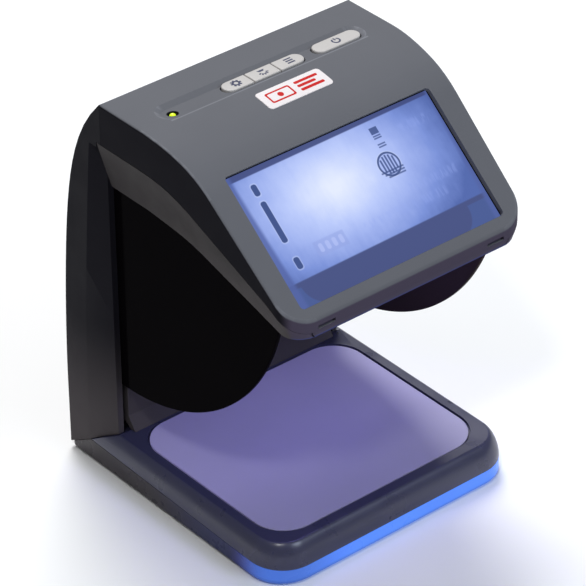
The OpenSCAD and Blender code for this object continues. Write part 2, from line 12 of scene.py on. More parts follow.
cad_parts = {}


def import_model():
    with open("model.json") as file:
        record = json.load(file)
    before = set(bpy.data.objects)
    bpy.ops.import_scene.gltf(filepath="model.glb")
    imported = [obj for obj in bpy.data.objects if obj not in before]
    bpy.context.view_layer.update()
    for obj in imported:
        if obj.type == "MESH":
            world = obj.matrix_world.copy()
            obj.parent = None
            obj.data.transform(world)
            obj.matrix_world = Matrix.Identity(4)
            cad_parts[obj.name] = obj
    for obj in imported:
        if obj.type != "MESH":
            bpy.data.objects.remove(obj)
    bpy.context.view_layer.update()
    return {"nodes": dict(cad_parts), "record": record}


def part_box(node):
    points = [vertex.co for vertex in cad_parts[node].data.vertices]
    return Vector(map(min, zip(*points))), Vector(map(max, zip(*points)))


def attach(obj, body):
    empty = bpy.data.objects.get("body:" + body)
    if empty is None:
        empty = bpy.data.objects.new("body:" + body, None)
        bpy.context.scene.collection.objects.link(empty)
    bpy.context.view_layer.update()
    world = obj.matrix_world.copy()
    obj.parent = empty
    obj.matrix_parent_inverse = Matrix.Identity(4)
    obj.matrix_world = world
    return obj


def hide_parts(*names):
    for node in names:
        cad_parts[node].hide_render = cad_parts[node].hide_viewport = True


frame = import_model()
MM = 0.001
ROOT = "housing"
scene = bpy.context.scene


# ---------- camera ----------
CAMERA_AT = Vector((-722.0, -868.5, 831.7))
CAMERA_AZIMUTH, CAMERA_ELEVATION, CAMERA_ROLL = radians(-39.737), radians(33.714), radians(-0.577)
SENSOR, LENS = 36.0, 223.42
SHIFT = (-0.0040, 0.0004)


def add_camera():
    back = Vector((sin(CAMERA_AZIMUTH) * cos(CAMERA_ELEVATION),
                   -cos(CAMERA_AZIMUTH) * cos(CAMERA_ELEVATION), sin(CAMERA_ELEVATION)))
    level = Vector((cos(CAMERA_AZIMUTH), sin(CAMERA_AZIMUTH), 0))
    upright = back.cross(level)
    right = cos(CAMERA_ROLL) * level + sin(CAMERA_ROLL) * upright
    up = -sin(CAMERA_ROLL) * level + cos(CAMERA_ROLL) * upright
    data = bpy.data.cameras.new("camera")
    data.sensor_width, data.lens = SENSOR, LENS
    data.shift_x, data.shift_y = SHIFT
    data.clip_start, data.clip_end = 0.05, 20
    camera = bpy.data.objects.new("camera", data)
    camera.matrix_world = Matrix.Translation(CAMERA_AT * MM) @ Matrix((right, up, back)).transposed().to_4x4()
    scene.collection.objects.link(camera)
    scene.camera = camera


# ---------- mesh helpers ----------
def mesh_object(name, points, faces):
    mesh = bpy.data.meshes.new(name)
    mesh.from_pydata([Vector(p) * MM for p in points], [], faces)
    obj = bpy.data.objects.new(name, mesh)
    scene.collection.objects.link(obj)
    edit(obj, lambda bm: bmesh.ops.recalc_face_normals(bm, faces=bm.faces))
    return obj


def edit(obj, change):
    """Runs change(bm) on the object's mesh."""
    bm = bmesh.new()
    bm.from_mesh(obj.data)
    change(bm)
    bm.to_mesh(obj.data)
    bm.free()
    obj.data.update()


def bake_modifiers(obj):
    depsgraph = bpy.context.evaluated_depsgraph_get()
    obj.data = bpy.data.meshes.new_from_object(obj.evaluated_get(depsgraph))
    obj.modifiers.clear()


def combine(obj, other, operation="DIFFERENCE"):
    """Boolean of obj with other, which is used up."""
    modifier = obj.modifiers.new("boolean", "BOOLEAN")
    modifier.operation, modifier.object, modifier.solver = operation, other, "MANIFOLD"
    bake_modifiers(obj)
    bpy.data.objects.remove(other)
    return obj


def loft(name, rings):
    """Closed solid through rings that have the same number of points."""
    n = len(rings[0])
    faces = [tuple(range(n)), tuple(range((len(rings) - 1) * n, len(rings) * n))]
    for k in range(len(rings) - 1):
        for i in range(n):
            j = (i + 1) % n
            faces.append((k * n + i, k * n + j, (k + 1) * n + j, (k + 1) * n + i))
    return mesh_object(name, [p for ring in rings for p in ring], faces)


def prism(name, outline, half_width):
    """A [y, z] outline drawn out along x to both sides."""
    return loft(name, [[(x, y, z) for y, z in outline] for x in (-half_width, half_width)])


def arc(centre, radius, start, end, steps):
    return [(centre[0] + radius * cos(start + (end - start) * i / steps),
             centre[1] + radius * sin(start + (end - start) * i / steps)) for i in range(steps + 1)]


def rounded_outline(x0, x1, y0, y1, r, steps=8):
    return (arc((x1 - r, y0 + r), r, -pi / 2, 0, steps) + arc((x1 - r, y1 - r), r, 0, pi / 2, steps)
            + arc((x0 + r, y1 - r), r, pi / 2, pi, steps) + arc((x0 + r, y0 + r), r, pi, 1.5 * pi, steps))


def slab(name, outline, z0, z1):
    return loft(name, [[(x, y, z) for x, y in outline] for z in (z0, z1)])


WELD, FINE_WELD = 2e-6, 1e-6            # metres: points closer than this are one point
FLAT_ANGLE = radians(0.4)               # faces that turn less than this are one face


def soften(obj, width, segments=3, sharp=24, weight=None):
    """Rounds the edges sharper than `sharp` degrees.

    weight(the edge's middle, in millimetres) gives each edge's share of the width.
    """
    def mark(bm):
        bmesh.ops.remove_doubles(bm, verts=bm.verts, dist=WELD)
        bmesh.ops.dissolve_limit(bm, angle_limit=FLAT_ANGLE, verts=bm.verts, edges=bm.edges)
        layers = bm.edges.layers.float
        layer = layers.get("bevel_weight_edge") or layers.new("bevel_weight_edge")
        for edge in bm.edges:
            turn = edge.calc_face_angle(0) if len(edge.link_faces) == 2 else 0
            if turn > radians(sharp):
                middle = (edge.verts[0].co + edge.verts[1].co) / 2 / MM
                edge[layer] = weight(middle) if weight else 1
    edit(obj, mark)
    modifier = obj.modifiers.new("bevel", "BEVEL")
    modifier.limit_method, modifier.width, modifier.segments = "WEIGHT", width * MM, segments
    modifier.use_clamp_overlap = True
    bake_modifiers(obj)
    return obj


EDGE_FACE_AREA = 4.0                    # square millimetres: a rounded edge's faces are smaller than this
FULL_EDGE_MARK_TURN = radians(22)            # a vertex whose faces turn this much gets the full edge mark, used for wearing and for a painted highlight


def shade(obj, sharp=38):
    """Smooth shading, and an "edge" attribute that is 1 on rounded outer edges, where plastic wears first and
    where the materials paint a highlight.
    """
    edit(obj, lambda bm: bmesh.ops.remove_doubles(bm, verts=bm.verts, dist=FINE_WELD))
    bm = bmesh.new()
    bm.from_mesh(obj.data)
    turns = {}
    for vertex in bm.verts:
        folds = [e.calc_face_angle_signed(0) for e in vertex.link_edges if len(e.link_faces) == 2]
        turns[vertex.index] = max(folds or [0])
    bm.free()
    edge = obj.data.attributes.get("edge") or obj.data.attributes.new("edge", "FLOAT", "CORNER")
    for polygon in obj.data.polygons:
        small = polygon.area / MM ** 2 < EDGE_FACE_AREA
        for loop in polygon.loop_indices:
            turn = turns[obj.data.loops[loop].vertex_index]
            edge.data[loop].value = min(1, max(0, turn / FULL_EDGE_MARK_TURN)) if small else 0
    obj.data.shade_smooth()
    obj.data.set_sharp_from_angle(angle=radians(sharp))
    modifier = obj.modifiers.new("normals", "WEIGHTED_NORMAL")
    modifier.keep_sharp = True
    bake_modifiers(obj)
    return obj


SLOT_OF = {s["node"]: s["material_slot"] for s in frame["record"]["subparts"]}


def piece(obj, body, material, node=None):
    """A finished piece: its material, the body it rides on, and the CAD node it stands for."""
    obj.data.materials.clear()
    obj.data.materials.append(material)
    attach(obj, body)
    if node:
        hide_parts(node)
    return obj


def copy_of(node, name):
    """A free copy of a CAD node's mesh, to be finished as a visible piece."""
    obj = bpy.data.objects.new(name, frame["nodes"][node].data.copy())
    scene.collection.objects.link(obj)
    return obj


def box_mm(node):
    low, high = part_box(node)
    return low / MM, high / MM


# ---------- material helpers ----------
class Shader:
    """A material whose nodes are added by short calls."""

    def __init__(self, name):
        self.material = bpy.data.materials.new(name)
        self.material.use_nodes = True
        self.tree = self.material.node_tree
        self.bsdf = self.tree.nodes["Principled BSDF"]
        self.place = self.node("ShaderNodeTexCoord").outputs["Object"]
        self._xyz = None

    def node(self, kind, **settings):
        made = self.tree.nodes.new(kind)
        for key, value in settings.items():
            setattr(made, key, value)
        return made

    def put(self, socket, value):
        if isinstance(value, bpy.types.NodeSocket):
            self.tree.links.new(value, socket)
        else:
            socket.default_value = value

    def set(self, name, value):
        """A number or a socket for one of the Principled inputs."""
        self.put(self.bsdf.inputs[name], value)

    def base_colour(self):
        """What the base colour is linked to so far."""
        return self.bsdf.inputs["Base Color"].links[0].from_socket

    def math(self, operation, a, b=0.0):
        made = self.node("ShaderNodeMath", operation=operation)
        self.put(made.inputs[0], a)
        self.put(made.inputs[1], b)
        return made.outputs[0]

    def add(self, a, b):
        return self.math("ADD", a, b)

    def sub(self, a, b):
        return self.math("SUBTRACT", a, b)

    def mul(self, a, b):
        return self.math("MULTIPLY", a, b)

    def high(self, a, b):
        return self.math("MAXIMUM", a, b)

    def span(self, value, a, b, to_a=0.0, to_b=1.0):
        """value from a to b becomes to_a to to_b, with soft ends."""
        made = self.node("ShaderNodeMapRange", interpolation_type="SMOOTHSTEP")
        for socket, v in zip(made.inputs[:5], (value, a, b, to_a, to_b)):
            self.put(socket, v)
        return made.outputs[0]

    def xyz(self):
        """The three coordinates of the point, in millimetres."""
        if self._xyz is None:
            scaled = self.node("ShaderNodeVectorMath", operation="SCALE")
            self.put(scaled.inputs[0], self.place)
            scaled.inputs["Scale"].default_value = 1 / MM
            self._xyz = self.node("ShaderNodeSeparateXYZ")
            self.put(self._xyz.inputs[0], scaled.outputs[0])
        return self._xyz.outputs[:]

    def noise(self, scale, detail=3.0, stretch=None):
        """Noise with `scale` cells in a millimetre."""
        made = self.node("ShaderNodeTexNoise")
        made.inputs["Scale"].default_value = scale / MM
        made.inputs["Detail"].default_value = detail
        place = self.place
        if stretch:
            mapping = self.node("ShaderNodeMapping")
            self.put(mapping.inputs["Vector"], place)
            mapping.inputs["Scale"].default_value = stretch
            place = mapping.outputs[0]
        self.put(made.inputs["Vector"], place)
        return made.outputs[0]

    def mix(self, factor, a, b):
        made = self.node("ShaderNodeMix", data_type="RGBA")
        self.put(made.inputs["Factor"], factor)
        colour_a, colour_b = made.inputs[6], made.inputs[7]
        self.put(colour_a, a if isinstance(a, bpy.types.NodeSocket) else (*a, 1))
        self.put(colour_b, b if isinstance(b, bpy.types.NodeSocket) else (*b, 1))
        return made.outputs[2]

    def bump(self, height, depth):
        """height is 0 to 1, depth is in millimetres."""
        made = self.node("ShaderNodeBump")
        made.inputs["Strength"].default_value = 1.0
        made.inputs["Distance"].default_value = depth * MM
        self.put(made.inputs["Height"], height)
        self.put(self.bsdf.inputs["Normal"], made.outputs[0])

    def edge(self):
        return self.node("ShaderNodeAttribute", attribute_name="edge").outputs["Fac"]

    def within(self, du, dv, r, blur):
        """1 where the point (du, dv) is less than r from zero."""
        distance = self.length(du, dv)
        return self.span(distance, r + blur / 2, r - blur / 2)

    def length(self, du, dv):
        return self.math("SQRT", self.add(self.mul(du, du), self.mul(dv, dv)))

    def rounded_box(self, u, v, centre, half, r, blur=0.15):
        """1 inside a rounded rectangle in the plane of u and v."""
        du = self.high(self.sub(self.math("ABSOLUTE", self.sub(u, centre[0])), half[0] - r), 0.0)
        dv = self.high(self.sub(self.math("ABSOLUTE", self.sub(v, centre[1])), half[1] - r), 0.0)
        return self.within(du, dv, r, blur)

    def disc(self, u, v, centre, r, blur=0.15):
        """1 inside a circle in the plane of u and v."""
        return self.within(self.sub(u, centre[0]), self.sub(v, centre[1]), r, blur)


def lighter(colour, k):
    """The colour times k."""
    return tuple(min(1, c * k) for c in colour)


def moulded(name, colour, rough, grain=5.0, depth=0.02, spread=0.10, edge_wear_and_highlight=0.35, specular=0.35):
    """Moulded plastic: faint mottling, spark-eroded grain, and outer edges lightened partly by wearing and
    partly as a painted highlight.
    """
    s = Shader(name)
    clouds = s.noise(0.035, 4)
    base = s.mix(clouds, lighter(colour, 1 - spread), lighter(colour, 1 + spread))
    # painted highlight and wearing: rounded edges are lightened, as where plastic rubs and where an edge
    # catches the light
    worn_and_highlit = s.mul(s.edge(), s.span(s.noise(0.4, 4), 0.35, 0.7, 0.35, 1.0))
    s.set("Base Color", s.mix(s.mul(worn_and_highlit, edge_wear_and_highlight), base, lighter(colour, 2.1)))
    smudge = s.span(s.noise(0.09, 5), 0.3, 0.7, rough - 0.05, rough + 0.05)
    s.set("Roughness", s.sub(smudge, s.mul(worn_and_highlit, 0.08)))
    s.set("Specular IOR Level", specular)
    s.bump(s.noise(grain, 2), depth)
    return s


def metal(name, colour, rough):
    """Bright metal with fine drawn lines."""
    s = Shader(name)
    lines = s.noise(1.2, 5, (1, 1, 12))
    s.set("Base Color", s.mix(lines, lighter(colour, 0.82), lighter(colour, 1.15)))
    s.set("Roughness", s.span(lines, 0.3, 0.7, rough - 0.07, rough + 0.1))
    s.set("Metallic", 1)
    s.bump(lines, 0.01)
    return s.material


def circuit_board(name):
    """Green solder resist over copper tracks, with a scatter of pads."""
    s = Shader(name)
    tracks = s.node("ShaderNodeTexBrick")
    tracks.inputs["Scale"].default_value = 0.35 / MM
    tracks.inputs["Mortar Size"].default_value = 0.05
    s.put(tracks.inputs["Vector"], s.place)
    pads = s.node("ShaderNodeTexVoronoi")
    pads.inputs["Scale"].default_value = 0.32 / MM
    s.put(pads.inputs["Vector"], s.place)
    resist = s.mix(s.noise(0.1, 3), (0.010, 0.085, 0.035), (0.016, 0.13, 0.055))
    routed = s.mix(tracks.outputs["Fac"], resist, (0.02, 0.17, 0.07))
    pad = s.span(pads.outputs["Distance"], 0.16, 0.12)
    s.set("Base Color", s.mix(pad, routed, (0.62, 0.60, 0.55)))
    s.set("Roughness", s.span(pad, 0, 1, 0.32, 0.22))
    s.bump(s.add(tracks.outputs["Fac"], pad), 0.03)
    return s.material


def clear_part(name, colour, rough, glow=None, strength=0.0):
    """Lens, lamp or diffuser plastic, lit from inside if it has a glow."""
    s = Shader(name)
    haze = s.noise(0.3, 4)
    s.set("Base Color", s.mix(haze, lighter(colour, 0.85), lighter(colour, 1.15)))
    s.set("Roughness", s.span(haze, 0.3, 0.7, rough, rough + 0.08))
    if glow:
        s.set("Emission Color", s.mix(haze, lighter(glow, 0.9), lighter(glow, 1.05)))
        s.set("Emission Strength", strength)
    s.bump(s.noise(2.0, 2), 0.004)
    return s.material


# ---------- sizes the materials need too ----------
HEAD_LOW, HEAD_HIGH = box_mm("head_top_shell")
TOP_Z = HEAD_HIGH.z
GROOVE_HALF, GROOVE_FRONT, GROOVE_REAR, GROOVE_DROP = 48.3, 11.9, 23.5, 1.2
GROOVE_BANK, GROOVE_LIP, GROOVE_LIP_DROP = 2.6, 1.0, 0.30
LED_SPOT, LED_HOLE_R = Vector((-42.3, 16.6)), 2.0
KEY_Y, KEY_L, KEY_TOP, KEY_GAP = 17.2, 6.8, TOP_Z + 0.27, 0.3
KEY_SHADOW = 0.12           # width of the dark edge round a key's hole
ROW_HALF, POWER_X, POWER_W = 18.6, 34.9, 21.6


# ---------- materials ----------
GREY = (0.124, 0.127, 0.141)
SLATE = (0.032, 0.033, 0.070)
# the side colour is painted shade: the housing's grey where the light doesn't reach, on the head's outward
# sides, the column and round the keys
SHADED_SIDE = (0.0095, 0.0090, 0.0125)
UNDER = (0.036, 0.032, 0.033)
# the rim colour is painted shade on the front rim; the lip colour is painted blue light on the head's lowest
# front edge
SHADED_RIM = (0.060, 0.050, 0.076)
PAINTED_LIP_LIGHT = (0.050, 0.055, 0.150)
LIP_Z = 114.4               # joint between the head shells, at the front


def skirt_plastic():
    """Blue band of painted light round the front of the base: bright at the front and fading out along its
    sides.
    """
    s = moulded("skirt_plastic", (0.030, 0.035, 0.10), 0.30, edge_wear_and_highlight=0.0, specular=0.2)
    x, y, z = s.xyz()
    base = s.base_colour()
    s.set("Base Color", s.mix(s.span(y, -30.0, 20.0), base, (0.040, 0.034, 0.040)))
    # painted light: blue light falling on the front of the base, strongest at the front and towards the
    # right, fading along the left side
    reach = s.span(y, -30.0, -53.0)
    painted_light_rightwards = s.span(x, -52.0, -20.0, 0.62, 1.0)
    glow = s.mul(s.mul(reach, painted_light_rightwards), s.span(z, 1.2, 3.2, 0.62, 1.0))
    colour = s.mix(reach, (0.10, 0.08, 0.55), (0.075, 0.235, 1.0))
    painted_hot_blue = s.mix(glow, colour, (0.09, 0.28, 1.0))
    s.set("Emission Color", s.mix(s.noise(0.06, 3), colour, painted_hot_blue))
    s.set("Emission Strength", s.mul(glow, 0.93))
    return s.material


def inlay_film():
    """Printed film over an opal diffuser, with a faint violet glow painted on where the head's lamp light
    falls, stronger towards the back under the head.
    """
    s = moulded("inlay_film", (0.28, 0.265, 0.40), 0.42, grain=3.0, depth=0.008, spread=0.06, edge_wear_and_highlight=0.1)
    x, y, z = s.xyz()
    # painted light: the violet glow stands in for the head's lamp light falling on the tray
    glow = s.span(y, -48.0, -5.0, 0.02, 0.16)
    s.set("Emission Color", s.mix(s.noise(0.03, 3), (0.32, 0.28, 0.75), (0.40, 0.34, 0.85)))
    s.set("Emission Strength", glow)
    return s.material


def head_plastic():
    """Satin grey on the top and bezel, with painted shade that turns the outward sides dark and the front rim
    violet-grey.
    """
    s = moulded("head_plastic", GREY, 0.46, spread=0.05, edge_wear_and_highlight=0.55, specular=0.015)
    base = s.base_colour()
    normal = s.node("ShaderNodeSeparateXYZ")
    s.put(normal.inputs[0], s.node("ShaderNodeTexCoord").outputs["Normal"])
    x, y, z = s.xyz()
    outside = s.span(s.math("ABSOLUTE", x), 50.0, 54.0)
    # painted shade: the outward sides take the dark colour of the grey where no light reaches
    side = s.mul(s.span(s.math("ABSOLUTE", normal.outputs[0]), 0.62, 0.93), outside)
    # painted shade: the front rim, which faces down and away from the light, turns violet-grey
    rim = s.mul(s.span(normal.outputs[2], 0.50, 0.10), s.span(z, 124.0, 121.0))
    base = s.mix(rim, base, SHADED_RIM)

    # a painted highlight: a pale line where the trough's front lip catches the light; and painted shade in
    # the gap round each key and round the lamp
    lip = s.rounded_box(x, y, (0, GROOVE_FRONT + 0.35), (46.3, 0.38), 0.3, 0.4)
    base = s.mix(s.mul(lip, 0.55), base, lighter(GREY, 1.9))
    gap_shade = s.disc(x, y, LED_SPOT, 2.3, 0.3)
    for middle, half_x in ((0, ROW_HALF), (POWER_X, POWER_W / 2)):
        half = (half_x + KEY_GAP + KEY_SHADOW, KEY_L / 2 + KEY_GAP + KEY_SHADOW)
        gap_shade = s.high(gap_shade, s.rounded_box(x, y, (middle, KEY_Y), half, half[1], 0.2))
    base = s.mix(s.mul(gap_shade, s.span(z, TOP_Z - 5, TOP_Z - 4)), base, SHADED_SIDE)
    s.set("Base Color", s.mix(side, base, SHADED_SIDE))
    return s.material


def underside_plastic():
    """Brown-grey below the joint; along the front edge, painted shade turns it violet-grey and a painted blue
    line of light runs along the lowest edge.
    """
    s = moulded("undercut", UNDER, 0.46, spread=0.10, specular=0.04, edge_wear_and_highlight=0.6)
    base = s.base_colour()
    x, y, z = s.xyz()
    lighter_low = s.span(z, 135.0, 116.0)
    base = s.mix(lighter_low, base, lighter(UNDER, 1.7))
    # painted shade on the front rim, and painted blue light on its lowest edge
    front = s.span(y, -60.0, -62.0)
    base = s.mix(front, base, s.mix(s.span(z, LIP_Z - 1.2, LIP_Z - 1.8), SHADED_RIM, PAINTED_LIP_LIGHT))
    s.set("Base Color", base)
    return s.material


def column_plastic():
    """Near-black: painted shade of the housing plastic, turning brown-grey towards the foot, where light
    reflected from the floor is painted on.
    """
    s = moulded("dark_plastic", SHADED_SIDE, 0.42, spread=0.08, specular=0.03)
    base = s.base_colour()
    x, y, z = s.xyz()
    # painted reflection: light from the floor, lighter towards the foot
    s.set("Base Color", s.mix(s.span(z, 70.0, 12.0), base, (0.066, 0.058, 0.062)))
    return s.material


def shade_acrylic():
    """Glossy smoked acrylic: black outside; the far one is painted brownish, standing in for the light seen
    through it.
    """
    s = moulded("shade_acrylic", (0.002, 0.0015, 0.002), 0.12, grain=0.05, depth=0.02, spread=0.15, edge_wear_and_highlight=0.5,
                specular=0.003)
    base = s.base_colour()
    x, y, z = s.xyz()
    # painted light: the far shade, on the right, is lighter and brownish as if lit from behind
    s.set("Base Color", s.mix(s.span(x, -10, 10), base, (0.030, 0.021, 0.022)))
    return s.material


MATERIALS = {
    "grey_plastic": head_plastic(),
    "slate_plastic": moulded("slate_plastic", SLATE, 0.31, depth=0.006, spread=0.08, specular=0.60).material,
    "dark_plastic": column_plastic(),
    "undercut": underside_plastic(),
    "skirt_plastic": skirt_plastic(),
    "inlay_film": inlay_film(),
    "circuit_board": circuit_board("circuit_board"),
    "led_package": clear_part("led_package", (0.75, 0.74, 0.66), 0.25),
    "rubber": moulded("rubber", (0.018, 0.018, 0.019), 0.75, grain=2.0, depth=0.03, edge_wear_and_highlight=0.05).material,
    "steel": metal("steel", (0.55, 0.55, 0.57), 0.34),
    "chip_plastic": moulded("chip_plastic", (0.012, 0.012, 0.013), 0.5, grain=8.0).material,
    "brass": metal("brass", (0.62, 0.43, 0.14), 0.25),
    "shade_acrylic": shade_acrylic(),
    "key_plastic": moulded("key_plastic", (0.47, 0.45, 0.435), 0.42, grain=6.0, depth=0.012, spread=0.04,
                           edge_wear_and_highlight=0.05, specular=0.12).material,
    "status_lens": clear_part("status_lens", (0.35, 0.45, 0.02), 0.12, (0.62, 0.85, 0.01), 0.9),
    "lens_glass": clear_part("lens_glass", (0.02, 0.02, 0.05), 0.04),
    "filter_plastic": clear_part("filter_plastic", (0.010, 0.006, 0.010), 0.10),
    "wire": moulded("wire", (0.10, 0.02, 0.02), 0.5, edge_wear_and_highlight=0).material,
    "print": moulded("print", (0.070, 0.075, 0.120), 0.6, edge_wear_and_highlight=0, specular=0.05).material,
}


# ---------- the screen's picture ----------
FACE_TILT = radians(39.5)
BUMP_R, BUMP_ANGLE, BUMP_Y = 75.0, radians(18), 14.45
BROW_R = 45.0
BUMP_CENTRE = Vector((BUMP_Y, TOP_Z - BUMP_R))
BROW_CENTRE = BUMP_CENTRE + (BUMP_R - BROW_R) * Vector((-sin(BUMP_ANGLE), cos(BUMP_ANGLE)))
SLOPE_START = BROW_CENTRE + BROW_R * Vector((-sin(FACE_TILT), cos(FACE_TILT)))
WINDOW_W, WINDOW_L, WINDOW_R = 96.0, 54.6, 1.6
WINDOW_C = -21.9            # middle of the screen, down the slope from where it starts


def face_matrix(along=0.0, out=0.0):
    """From the screen's own frame (x right, y up the slope, z out of it) to the row frame, in millimetres."""
    return (Matrix.Translation((0, SLOPE_START.x, SLOPE_START.y)) @ Matrix.Rotation(FACE_TILT, 4, "X")
            @ Matrix.Translation((0, along, out)))


def on_face(obj, along=WINDOW_C, out=0.0):
    matrix = face_matrix(along, out)
    matrix.translation *= MM
    obj.data.transform(matrix)
    return obj


def screen_picture():
    """The infrared picture of a note: generic bars, a block, a round mark and the edges of the tray."""
    s = Shader("screen")
    x, y, z = s.xyz()
    middle = face_matrix(WINDOW_C).translation
    u = x
    v = s.add(s.mul(s.sub(y, middle.y), cos(FACE_TILT)), s.mul(s.sub(z, middle.z), sin(FACE_TILT)))

    # light falls off from a bright patch, and the paper is faintly mottled and banded
    du, dv = s.mul(s.sub(u, -8.0), 1 / 60.0), s.mul(s.sub(v, 8.5), 1 / 37.0)
    far = s.length(du, dv)
    paper = s.node("ShaderNodeValToRGB")
    ramp = paper.color_ramp
    ramp.elements[0].position, ramp.elements[0].color = 0.05, (0.80, 0.86, 1.0, 1)
    ramp.elements[1].position, ramp.elements[1].color = 0.98, (0.085, 0.140, 0.41, 1)
    for position, colour in ((0.18, (0.68, 0.76, 1.0, 1)), (0.36, (0.50, 0.60, 0.97, 1)),
                             (0.54, (0.36, 0.46, 0.87, 1)), (0.76, (0.20, 0.29, 0.69, 1))):
        ramp.elements.new(position).color = colour
    clouds = s.mul(s.sub(s.noise(0.12, 4), 0.5), 0.16)
    bands = s.mul(s.sub(s.noise(0.5, 3, (1, 0.25, 0.25)), 0.5), 0.07)
    s.put(paper.inputs[0], s.add(far, s.add(clouds, bands)))
    picture = paper.outputs[0]

    def paint(mask, colour, amount=1.0):
        nonlocal picture
        picture = s.mix(s.mul(mask, amount), picture, colour)

    ink, halo = (0.050, 0.085, 0.24), (0.66, 0.75, 1.0)
    bar_x = -38.1
    for centre_v, half_v in ((18.9, 2.3), (5.8, 8.4), (-11.1, 2.3)):
        paint(s.rounded_box(u, v, (bar_x, centre_v), (1.6, half_v + 0.5), 1.2, 0.4), halo, 0.30)
        paint(s.rounded_box(u, v, (bar_x, centre_v), (1.25, half_v), 1.0, 0.3), ink)
    block_u, block_half_u = 18.6, 1.75
    paint(s.rounded_box(u, v, (block_u, 21.1), (block_half_u, 1.35), 0.1, 0.3), ink)
    for stripe_v in (19.0, 18.1, 15.6, 14.6):
        paint(s.rounded_box(u, v, (block_u, stripe_v), (block_half_u, 0.28), 0.1, 0.3), ink, 0.9)
    mark = (17.0, 7.6)
    paint(s.disc(u, v, mark, 5.2, 0.5), halo, 0.5)
    paint(s.disc(u, v, mark, 4.9, 0.3), ink, 0.95)
    paint(s.disc(u, v, mark, 4.1, 0.3), (0.42, 0.52, 0.92))
    for k, reach in ((-2, 2.6), (-1, 3.5), (0, 3.8), (1, 3.5), (2, 2.6)):
        paint(s.rounded_box(u, v, (mark[0] + 1.35 * k, mark[1]), (0.40, reach), 0.2, 0.3), ink, 0.9)
    for k in range(3):
        wave = (mark[0] + 0.5 * k, mark[1] - 2.4 - 1.1 * k)
        paint(s.rounded_box(u, v, wave, (5.2 - 0.6 * k, 0.33), 0.3, 0.3), ink, 0.8)
    patch_v = -9.6
    paint(s.rounded_box(u, v, (-22.0, patch_v), (7.0, 2.9), 0.3, 0.8), (0.30, 0.38, 0.76), 0.55)
    for column in range(4):
        dot = (-26.4 + 3.1 * column, patch_v)
        paint(s.rounded_box(u, v, dot, (0.9, 1.7), 0.8, 0.5), (0.52, 0.60, 0.98), 0.5)
    for row_u, row_v, half_u in ((33.0, 18.0, 9.0), (12.0, -9.5, 21.0), (30.0, -3.5, 12.0)):
        faint = s.span(s.noise(0.7, 2, (1, 0.2, 0.2)), 0.42, 0.6)
        row = s.rounded_box(u, v, (row_u, row_v), (half_u, 1.7), 0.8, 1.5)
        paint(s.mul(row, faint), (0.30, 0.40, 0.85), 0.30)

    # round the note: the tray's rim, darker, and the lit corners of the base
    tilted_v = s.add(v, s.mul(u, -0.012))
    paint(s.span(tilted_v, -16.6, -17.3), (0.062, 0.082, 0.215))
    corner = s.span(s.rounded_box(u, v, (-2.6, -12.0), (39.6, 16.2), 9.0, 0.8), 1, 0)
    paint(s.mul(s.span(tilted_v, -18.6, -19.1), corner), (0.066, 0.105, 0.29))
    paint(s.span(s.add(v, s.mul(u, -0.010)), 24.7, 25.3), (0.050, 0.068, 0.20), 0.95)
    from_middle = s.math("ABSOLUTE", s.sub(u, 0.8))
    paint(s.span(s.add(from_middle, s.mul(v, -0.03)), 44.2, 46.2), (0.085, 0.125, 0.36), 0.85)
    active = s.rounded_box(u, v, (0, 0), (47.5, 26.95), 0.05, 0.1)
    s.set("Emission Color", s.mix(active, (0, 0, 0), picture))
    s.set("Emission Strength", s.span(active, 0, 1, 0.0, 0.97))
    s.set("Base Color", s.mix(active, (0.004, 0.004, 0.006), (0.012, 0.014, 0.03)))
    s.set("Roughness", s.span(s.noise(0.15, 4), 0.3, 0.7, 0.10, 0.16))
    s.set("Specular IOR Level", 0.12)
    s.bump(s.noise(6.0, 1), 0.002)
    return s.material


MATERIALS["screen"] = screen_picture()


# ---------- head, upper shell ----------
FRONT_Y, HEAD_REAR_Y, HALF_W = HEAD_LOW.y, HEAD_HIGH.y, HEAD_HIGH.x
CLOSED_SEAM = 0.20          # the top reaches this much further back than the CAD's, to close the joint
SIDE_BEND_Y, SIDE_FRONT_W, BEZEL_R = 8.0, 56.5, 12.0
CORNER_RY = BEZEL_R * cos(FACE_TILT)
PART_Z, KNEE = 149.0, (-55.0, 123.3)
FOLD_R, FOLD_ANGLE, FOLD_Y = 61.0, radians(24.5), 14.0
WALL, SEAM_GAP = 2.2, 0.25
HEAD_EDGE, HOLLOW_EDGE = 1.0, 0.6       # rounding between the top and the sides, outside and inside
THROUGH = 9.0               # a cutter reaches this far to both sides of the wall that it goes through


def ramp_between(value, points):
    """Straight lines through (key, value) points sorted by falling key."""
    for (k0, v0), (k1, v1) in zip(points, points[1:]):
        if value >= k1:
            return v0 + (v1 - v0) * (value - k0) / (k1 - k0)
    return points[-1][1]


def top_line(y):
    """Height of the head's top over y: flat, two bends, then the screen's slope."""
    if y >= BUMP_Y:
        return TOP_Z
    for centre, r, limit in ((BUMP_CENTRE, BUMP_R, BUMP_ANGLE), (BROW_CENTRE, BROW_R, FACE_TILT)):
        a = math.asin(min(1, (centre.x - y) / r))
        if a <= limit:
            return centre.y + r * cos(a)
    return SLOPE_START.y - (SLOPE_START.x - y) * math.tan(FACE_TILT)


def fold_line(y):
    """Height of the joint between the head shells: level, bending, then straight down to the front."""
    if y >= FOLD_Y:
        return PART_Z
    end_y = FOLD_Y - FOLD_R * sin(FOLD_ANGLE)
    if y >= end_y:
        return PART_Z - FOLD_R + math.sqrt(FOLD_R ** 2 - (FOLD_Y - y) ** 2)
    return ramp_between(y, [(end_y, PART_Z - FOLD_R + FOLD_R * cos(FOLD_ANGLE)), KNEE, (FRONT_Y, LIP_Z)])


